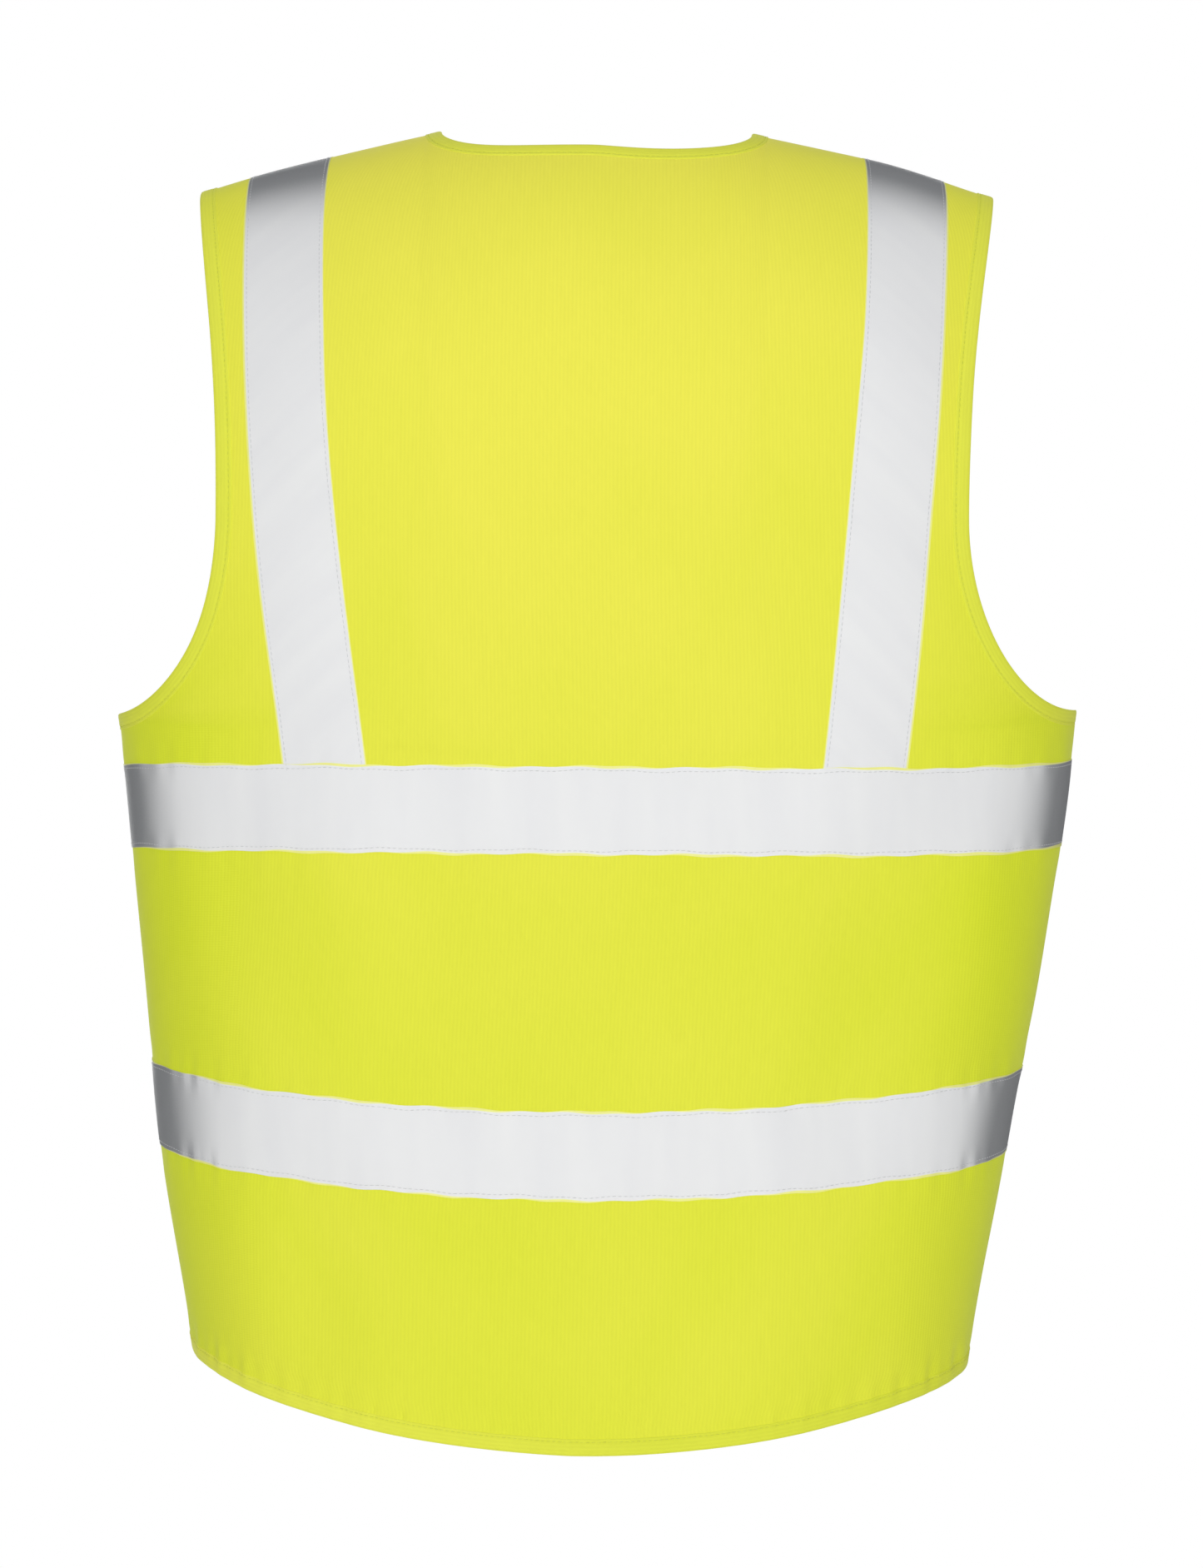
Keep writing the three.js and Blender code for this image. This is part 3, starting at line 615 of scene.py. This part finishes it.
# Across the strip from its folded edge, and half its thickness there
strip_section = ((0, 0), (0.0001, 0.0006), (0.0006, 0.0011), (0.002, 0.0013), (0.0045, 0.0012),
                 (0.0068, 0.00115), (0.0074, 0.0009), (stitch_inset, 0.00078), (0.0082, 0.0009),
                 (0.0088, 0.0011), (0.0094, 0.0009), (binding_width, 0.0005))


def along_edge(runs, inset, lift):
    """Points along cut lines, each run a shell, a line, its shares and a side."""
    return np.concatenate([cloth_point(shell, side * x, z, lift)
                           for shell, line, shares, side in runs
                           for x, z in [line(inset, shares)]])


def bind(name, runs):
    loop = [(s, t) for s, t in strip_section] + [(s, -t) for s, t in strip_section[::-1]]
    points = np.stack([along_edge(runs, s, t) for s, t in loop], 1)
    kept = np.append(True, np.linalg.norm(np.diff(points[:, 3], axis=0), axis=-1) > 1e-5)
    made = grid_piece(name, points[kept], binding, tube=True)
    return made


def thread_pattern(s):
    place = s.node("TexCoord", {}, output=3)
    twist = s.noise(place, 1500, 1)
    return {"Base Color": twist.mix(linear("c3cb2a"), linear("dfe352"))}


thread = finish("sewing_thread", thread_pattern, Roughness=0.6, Emission_Strength=0.0)
stitch_pitch, stitch_length, thread_radius = 0.0032, 0.0025, 0.00024


def sew(name, lines, material=None):
    """Rows of single stitches, each a small spindle lying along its line."""
    shape = bmesh.new()
    for points in lines:
        length = np.append(0, np.cumsum(np.linalg.norm(np.diff(points, axis=0), axis=-1)))
        middles = np.arange(stitch_pitch / 2, length[-1], stitch_pitch)
        ends = [np.stack([np.interp(middles + e, length, points[:, i]) for i in range(3)], -1)
                for e in (-stitch_length / 2, stitch_length / 2)]
        for start, end in zip(*ends):
            a, b = Vector(start), Vector(end)
            turn = (b - a).to_track_quat("X", "Z").to_matrix().to_4x4()
            size = Matrix.Diagonal((stitch_length / 2, thread_radius, thread_radius, 1))
            bmesh.ops.create_icosphere(shape, subdivisions=1, radius=1,
                                       matrix=Matrix.Translation((a + b) / 2) @ turn @ size)
    made = add_piece(name, shape, material or thread)
    return made


def seam_rows(runs):
    """The line of stitches of a binding, on its outer and its inner face."""
    return [along_edge(runs, stitch_inset, lift) for lift in (0.00088, -0.00088)]


def hem_run(shell, start, end, count):
    def line(inset, shares):
        return girth_line(shell, hem_z, start, end, count, inset).T
    return line


whole = np.linspace(0, 1, 140)
armholes = []
for side, hand, slack in ((1, "left", left_slack), (-1, "right", right_slack)):
    def front_armhole(inset, t, slack=slack):
        return armhole_line(front, inset, t, slack)

    def back_armhole(inset, t):
        return armhole_line(back, inset, t)

    runs = [(back, back_armhole, whole, side), (front, front_armhole, whole[::-1], side)]
    made = bind(f"{hand}_armhole_strip", runs)
    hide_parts(f"{hand}_armhole_binding")
    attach(made, "vest_body")
    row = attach(sew(f"{hand}_armhole_stitches", seam_rows(runs)), "vest_body")
    armholes += [made, row]

neck_runs = [(back, back_neck_line, whole, 1)]
neck_strip = bind("back_neck_strip", neck_runs)
neck_row = sew("back_neck_stitches", seam_rows(neck_runs))
hem_runs = [(back, hem_run(back, 1, -1, 220), whole, 1)]
hem_strip = bind("back_hem_strip", hem_runs)
hem_row = sew("back_hem_stitches", seam_rows(hem_runs))
for made in (neck_strip, neck_row, hem_strip, hem_row):
    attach(made, "vest_body")

front_trims = {}
for side, hand in ((1, "left"), (-1, "right")):
    edge_share = zip_opening / hem_half
    neck_run = [(front, front_neck_line, whole, side)]
    hem_run_here = [(front, hem_run(front, edge_share, 1, 110), whole, side)]
    strips = bind(f"{hand}_front_neck_strip", neck_run), bind(f"{hand}_front_hem_strip", hem_run_here)
    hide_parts(f"{hand}_front_neck_binding", "neck_binding")
    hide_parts(f"{hand}_front_hem_binding", "hem_binding")
    row = sew(f"{hand}_front_edge_stitches", seam_rows(neck_run) + seam_rows(hem_run_here))
    front_trims[hand] = [*strips, row]
    for made in front_trims[hand]:
        swing(made)

# ---- Bands ----
# Two reflective tapes, 50 mm wide, run round the chest and the waist. Each is a grey cloth
# faced with glass beads, sewn on by a row of stitches inside each edge.
tape_lift, tape_thickness = 0.0008, 0.0003
stitch_margin = 0.0026


def edge_highlight_mask(s):
    """1 along the two cut edges of a tape, where its backing edge shows; they are painted pale
    yellow, a painted highlight of yellow reflected light.
    """
    across = s.node("SeparateXYZ", {0: s.node("UVMap", {}, uv_map="cloth")}, output=0)
    return s.sum("ABSOLUTE", across).step(tape_width / 2 - 0.0011, tape_width / 2 - 0.0004)


def tape_pattern(s):
    uv = s.node("UVMap", {}, uv_map="cloth")
    place = s.node("TexCoord", {}, output=2)
    crosswise = s.node("Mapping", {"Vector": uv, "Scale": (0.2, 1, 1)})
    cloudy = s.noise(crosswise, 45, 2)
    beads = s.noise(uv, 5200, 1)
    colour = cloudy.mix(linear("e3e3e5"), linear("eeeeed"))
    colour = s.node("HueSaturation", {"Color": colour, "Value": beads * 0.06 + 0.97})
    # Painted highlight: pale yellow along both edges of the tape, which are also kept free of the
    # painted slant shade.
    colour = edge_highlight_mask(s).mix(colour, linear("f0f08c"))
    ripple = s.node("Bump", {"Height": beads * 0.4 + s.noise(place, 900, 2), "Strength": 0.25,
                             "Distance": 0.0001})
    return {"Base Color": colour, "Roughness": cloudy * 0.1 + 0.5, "Normal": ripple}


def slant_shade_pattern(s):
    place = s.node("TexCoord", {}, output=2)
    return {"Base Color": s.noise(place, 900).mix(linear("8b8c8e"), linear("9b9c9e"))}


def paint_shade_at_a_slant(material, low, high):
    """Glass beads send light straight back; where the tape is seen at a slant it is painted a darker
    grey, a painted shade for the light that no longer comes back.
    """
    tree = material.node_tree
    s = Sock(tree)
    bright = tree.nodes["Principled BSDF"]
    slant_shade_shader = tree.nodes.new("ShaderNodeBsdfPrincipled")
    slant_shade_shader.inputs["Roughness"].default_value = 0.45
    tree.links.new(slant_shade_pattern(s)["Base Color"].socket, slant_shade_shader.inputs["Base Color"])
    # Painted shade: the darker grey is mixed in where the tape is seen at a slant.
    turned = s.node("LayerWeight", {"Blend": 0.5}, output=1).step(low, high)
    both = s.node("MixShader", {0: turned * (1 - edge_highlight_mask(s)), 1: Sock(tree, bright.outputs[0]),
                                2: Sock(tree, slant_shade_shader.outputs[0])})
    tree.links.new(both.socket, tree.nodes["Material Output"].inputs["Surface"])


tape = finish("reflective_tape", tape_pattern, Metallic=0.0, Specular_IOR_Level=0.4)
paint_shade_at_a_slant(tape, 0.30, 0.64)


def tape_piece(name, points):
    made = grid_piece(name, points, tape, tape_thickness)
    return made


def band_line(line, offset):
    def edge(across):
        wobble = 0.0005 * np.sin(23 * across + 70 * offset) + 0.0003 * np.sin(61 * across)
        return line(across) + offset + wobble
    return edge


def band_points(shell, line, start, end, count, side=1):
    rows = []
    for offset in np.linspace(tape_width / 2, -tape_width / 2, 13):
        x, z = girth_line(shell, band_line(line, offset), start, end, count).T
        rows.append(cloth_point(shell, side * x, z, tape_lift))
    points = np.stack(rows[::-1], 1)
    return points if side > 0 else points[::-1]


def band_rows(shell, line, start, end, count, side=1):
    """The two lines of stitches of a band."""
    edges = (tape_width / 2 - stitch_margin, stitch_margin - tape_width / 2)
    return [cloth_point(shell, side * x, z, tape_lift + tape_thickness / 2)
            for offset in edges
            for x, z in [girth_line(shell, band_line(line, offset), start, end, count).T]]


def tape_thread_pattern(s):
    place = s.node("TexCoord", {}, output=3)
    return {"Base Color": s.noise(place, 1500, 1).mix(linear("c6c6c8"), linear("dededf"))}


tape_thread = finish("tape_thread", tape_thread_pattern, Roughness=0.6)
bands = {"back": [], "left": [], "right": []}
for name, line in (("chest", chest_z), ("waist", waist_z)):
    points = band_points(back, line, 1, -1, 200)
    made = tape_piece(f"{name}_band_rear", points)
    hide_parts(f"{name}_band_back")
    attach(made, "vest_body")
    row = sew(f"{name}_band_rear_stitches", band_rows(back, line, 1, -1, 200),
              tape_thread)
    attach(row, "vest_body")
    declare_sheet(made, points, "laid", ["back_cloth"], [row])
    for side, hand in ((1, "left"), (-1, "right")):
        share = zip_opening / underarm_half
        points = band_points(front, line, share, 1, 100, side)
        made = tape_piece(f"{hand}_{name}_band", points)
        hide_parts(f"{hand}_{name}_band_side", f"{hand}_{name}_band_front")
        row = sew(f"{hand}_{name}_band_stitches", band_rows(front, line, share, 1, 100, side),
                  tape_thread)
        swing(made)
        swing(row)
        declare_sheet(made, points, "laid", [f"{hand}_front_cloth"], [row])

# ---- Braces ----
# A tape of the same kind runs over each shoulder, from the chest band in front to the one
# behind. It is sewn on before the bands, which cover its ends.
brace_lift, brace_tuck = 0.00062, 0.004
brace_ridge_x, brace_foot_x, brace_bow = 0.181, 0.152, 0.005
foot_z = -chest_drop + tape_width / 2 - brace_tuck


def brace_rows(shell, shares):
    """Places along a brace from the ridge down, at shares of its half width."""
    down = np.linspace(0, 1, 120)[:, None] ** 1.7
    top_z = ridge_z(brace_ridge_x)
    x = brace_ridge_x + (brace_foot_x - brace_ridge_x) * down + brace_bow * 4 * down * (1 - down)
    z = top_z + (foot_z - top_z) * down
    step = 0.001
    fall = (ridge_z(x + step) - ridge_z(x)) * (1 - down)
    lean = shell_y(shell, x + step, z + fall) - shell_y(shell, x, z)
    half = tape_width / 2 * step / np.sqrt(step ** 2 + lean ** 2 + fall ** 2)
    across = x + half * np.asarray(shares)[None]
    return across, ridge_z(across) + (foot_z - ridge_z(across)) * down


def brace_points(side, shares, lift):
    halves = []
    for shell in (front, back):
        x, z = brace_rows(shell, shares)
        halves.append(cloth_point(shell, side * x, z, lift))
    return np.concatenate([halves[0][:0:-1], halves[1]])


inner_share = 1 - stitch_margin / (tape_width / 2)
for side, hand in ((1, "left"), (-1, "right")):
    points = brace_points(side, np.linspace(-1, 1, 13) * -side, brace_lift)[::-1]
    made = tape_piece(f"{hand}_shoulder_brace", points[::-1])
    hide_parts(f"{hand}_brace")
    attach(made, "vest_body")
    edges = brace_points(side, (-inner_share, inner_share), brace_lift + tape_thickness / 2)
    row = sew(f"{hand}_brace_stitches", [edges[:, 0], edges[:, 1]],
              tape_thread)
    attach(row, "vest_body")
    declare_sheet(made, points, "hung", ["back_cloth", f"{hand}_front_cloth"], [row])

declare_sheet(back_cloth, back_points, "hung", ["wearer_shoulders"], [neck_strip, hem_strip])
for hand in ("left", "right"):
    declare_sheet(*fronts[hand], "hung", ["wearer_shoulders"], front_trims[hand][:2])

# ---- Side seams ----
# The fronts are sewn to the back at the sides and shoulders. The seam allowances lie
# turned to the back inside the vest, and a row of stitches runs down each zip edge.
allowance_lift = -0.0011
seam_z = np.linspace(-underarm_drop - binding_width, hem_z(1) + binding_width, 120)
for side, hand in ((1, "left"), (-1, "right")):
    strips = []
    for depth in np.linspace(0, 1, 4):
        share = 1 - 0.0009 * depth ** 2.5
        strips.append(cloth_point(back, side * half_width(seam_z) * share, seam_z,
                                  allowance_lift))
    points = np.stack(strips if side < 0 else strips[::-1], 1)
    made = grid_piece(f"{hand}_side_allowance", points, cloth, 0.0008)
    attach(made, "vest_body")
    edge_z = np.linspace(-front_neck_drop - 0.012, hem_z(0) + binding_width, 150)
    row = sew(f"{hand}_zip_edge_stitches",
              [cloth_point(front, side * (zip_opening + 0.0035) + 0 * edge_z, edge_z, 0.0005)])
    swing(row)

# ---- Zip ----
# An open-end zip with moulded teeth: two woven tapes, a row of teeth on each, metal stops,
# a pin on each tape at the foot and a retainer box on the wearer's left.
def woven_pattern(s):
    place = s.node("TexCoord", {}, output=3)
    x = s.node("SeparateXYZ", {0: place}, output=0)
    z = s.node("SeparateXYZ", {0: place}, output=2)
    weave = (x + z).wave(0.0012) * 0.5 + (x - z).wave(0.0012) * 0.5
    colour = s.noise(place, 260).mix(linear("b8c222"), linear("ccd531"))
    rough = s.node("Bump", {"Height": weave, "Strength": 0.5, "Distance": 0.0002})
    return {"Base Color": colour, "Normal": rough}


def moulded_pattern(s):
    place = s.node("TexCoord", {}, output=3)
    return {"Base Color": s.noise(place, 300).mix(linear("c6cf2c"), linear("d6dd3c")),
            "Roughness": s.noise(place, 900) * 0.15 + 0.32}


def cast_pattern(s):
    place = s.node("TexCoord", {}, output=3)
    brushed = s.noise(s.node("Mapping", {"Vector": place, "Scale": (1, 1, 0.1)}), 2400, 3)
    scuffs = s.noise(place, 500, 4).step(0.52, 0.72)
    rough = s.node("Bump", {"Height": brushed, "Strength": 0.2, "Distance": 0.0001})
    return {"Base Color": scuffs.mix(linear("7d7d7b"), linear("989896")),
            "Roughness": brushed * 0.2 + scuffs * 0.1 + 0.3, "Normal": rough}


zip_cloth = finish("zip_cloth", woven_pattern, Roughness=0.8, Sheen_Weight=0.1)
zip_plastic = finish("zip_plastic", moulded_pattern, Coat_Weight=0.15)
zip_metal = finish("zip_metal", cast_pattern, Metallic=1.0)


def cuboid(shape, low, high):
    """A box between two corners, added to a bmesh."""
    low, high = Vector(low), Vector(high)
    place = Matrix.Translation((low + high) / 2) @ Matrix.Diagonal((*(high - low), 1))
    return bmesh.ops.create_cube(shape, size=1, matrix=place)["verts"]


def smooth_edges(shape, width):
    bmesh.ops.bevel(shape, geom=shape.edges, offset=width, segments=3, profile=0.5,
                    affect="EDGES", material=-1)


# Each tape runs from the roots of its teeth outwards, and on down beside the box.
tape_columns = (0.0009, 0.0030, 0.0045, 0.0047, 0.0080, 0.0120, 0.0160)
beside_box = 0.0046
box_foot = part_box("zip_retainer_box")[0].z + 0.0005
for hand, sign in (("left", 1), ("right", -1)):
    low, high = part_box(f"{hand}_zip_tape")
    shape = bmesh.new()
    bmesh.ops.create_grid(shape, x_segments=len(tape_columns) - 1, y_segments=160, size=0.5)
    for vert in shape.verts:
        away = tape_columns[round((vert.co.x + 0.5) * (len(tape_columns) - 1))]
        foot = low.z if away < beside_box else box_foot
        z = foot + (high.z - foot) * (vert.co.y + 0.5)
        ripple = 0.00025 * math.sin(240 * z) * away / tape_columns[-1]
        vert.co = (sign * away, (low.y + high.y) / 2 + ripple, z)
    made = add_piece(f"{hand}_zip_band", shape, zip_cloth, 0.0006)
    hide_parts(f"{hand}_zip_tape")
    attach(made, f"{hand}_front")

# Each tooth is a moulded block with a waist behind a rounded head. The heads of the two
# rows alternate.
tooth_pitch, tooth_height = 0.0025, 0.00135
head_half_height = tooth_height * 0.68
head_reach, head_root = 0.00035, 0.0007     # towards the other row, and back from the neck
neck_inset = 0.0002                         # the neck is thinner than the head by this, twice
for hand, sign in (("left", 1), ("right", -1)):
    low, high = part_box(f"{hand}_zip_teeth")
    count = int((high.z - low.z) / tooth_pitch)
    top = high.z - (tooth_pitch / 2 if sign > 0 else 0) - tooth_height
    shape = bmesh.new()
    for k in range(count):
        z = top - k * tooth_pitch
        if z - tooth_height / 2 < low.z:
            break
        near, far = sorted((low.x, high.x), key=abs)
        cuboid(shape, (min(near, far), low.y + neck_inset, z - tooth_height / 2),
               (max(near, far), high.y - neck_inset, z + tooth_height / 2))
        tip, root = near - sign * head_reach, near + sign * head_root
        cuboid(shape, (min(tip, root), low.y, z - head_half_height),
               (max(tip, root), high.y, z + head_half_height))
    made = add_piece(f"{hand}_teeth", shape, zip_plastic)
    made.data.shade_flat()
    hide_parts(f"{hand}_zip_teeth")
    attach(made, f"{hand}_front")

# The stops, pins and box are small blocks with rounded edges. The two pins just clear the
# web of the slider, which runs between them.
block_rounding, pin_inner_x = 0.0005, 0.00065
for node, material, slot_name, body in (
        ("left_zip_top_stop", zip_metal, "zip_metal", "left_front"),
        ("right_zip_top_stop", zip_metal, "zip_metal", "right_front"),
        ("zip_retainer_pin", zip_plastic, "zip_plastic", "left_front"),
        ("zip_insertion_pin", zip_plastic, "zip_plastic", "right_front"),
        ("zip_retainer_box", zip_plastic, "zip_plastic", "left_front")):
    low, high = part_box(node)
    if node.endswith("_pin"):
        low.x, high.x = (pin_inner_x, high.x) if low.x > 0 else (low.x, -pin_inner_x)
    shape = bmesh.new()
    cuboid(shape, low, high)
    smooth_edges(shape, block_rounding)
    made = add_piece(f"{node}_block", shape, material)
    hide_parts(node)
    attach(made, body)

# The slider and its bridge are die cast. The pull is stamped from sheet metal, with a
# raised rim round its lower end.
def softened(name, node, width):
    """The same shape as a CAD node, with its sharp edges rounded."""
    shape = bmesh.new()
    shape.from_mesh(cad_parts[node].data)
    bmesh.ops.remove_doubles(shape, verts=shape.verts, dist=1e-6)
    bmesh.ops.dissolve_limit(shape, angle_limit=math.radians(4), verts=shape.verts,
                             edges=shape.edges)
    sharp = [e for e in shape.edges if e.calc_face_angle(0) > math.radians(40)]
    bmesh.ops.bevel(shape, geom=sharp, offset=width, segments=3, profile=0.5,
                    affect="EDGES", material=-1)
    made = add_piece(name, shape, zip_metal)
    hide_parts(node)
    return made


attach(softened("slider_casting", "zip_slider", 0.0003), "zip_slider")
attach(softened("slider_bridge", "zip_slider_bridge", 0.0002), "zip_slider")
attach(softened("pull_tab", "zip_pull", 0.00025), "zip_pull")

# ---- Care label ----
# A blank white label of woven satin, sewn along its top edge inside the back neck.
def satin_pattern(s):
    place = s.node("TexCoord", {}, output=3)
    x = s.node("SeparateXYZ", {0: place}, output=0)
    fine = s.node("Bump", {"Height": x.wave(0.0006), "Strength": 0.3, "Distance": 0.0001})
    return {"Base Color": s.noise(place, 120).mix(linear("eeede8"), linear("f8f8f5")),
            "Normal": fine}


satin = finish("label_satin", satin_pattern, Roughness=0.55, Sheen_Weight=0.3)
low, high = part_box("care_label")
u, v = np.meshgrid(np.linspace(low.x, high.x, 30), np.linspace(high.z, low.z, 22))
curl = (high.z - v) / (high.z - low.z)
points = cloth_point(back, u, v, -0.0015 - 0.0016 * curl ** 2 - 0.0004 * np.sin(160 * u) * curl)
label = grid_piece("label", points, satin, 0.0004)
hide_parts("care_label")
label_row = sew("label_stitches", [points[1] + (0, -0.0004, 0)])
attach(label_row, "vest_body")
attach(label, "vest_body")
declare_sheet(label, points, "hung", ["back_cloth"], [label_row])

low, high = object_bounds()
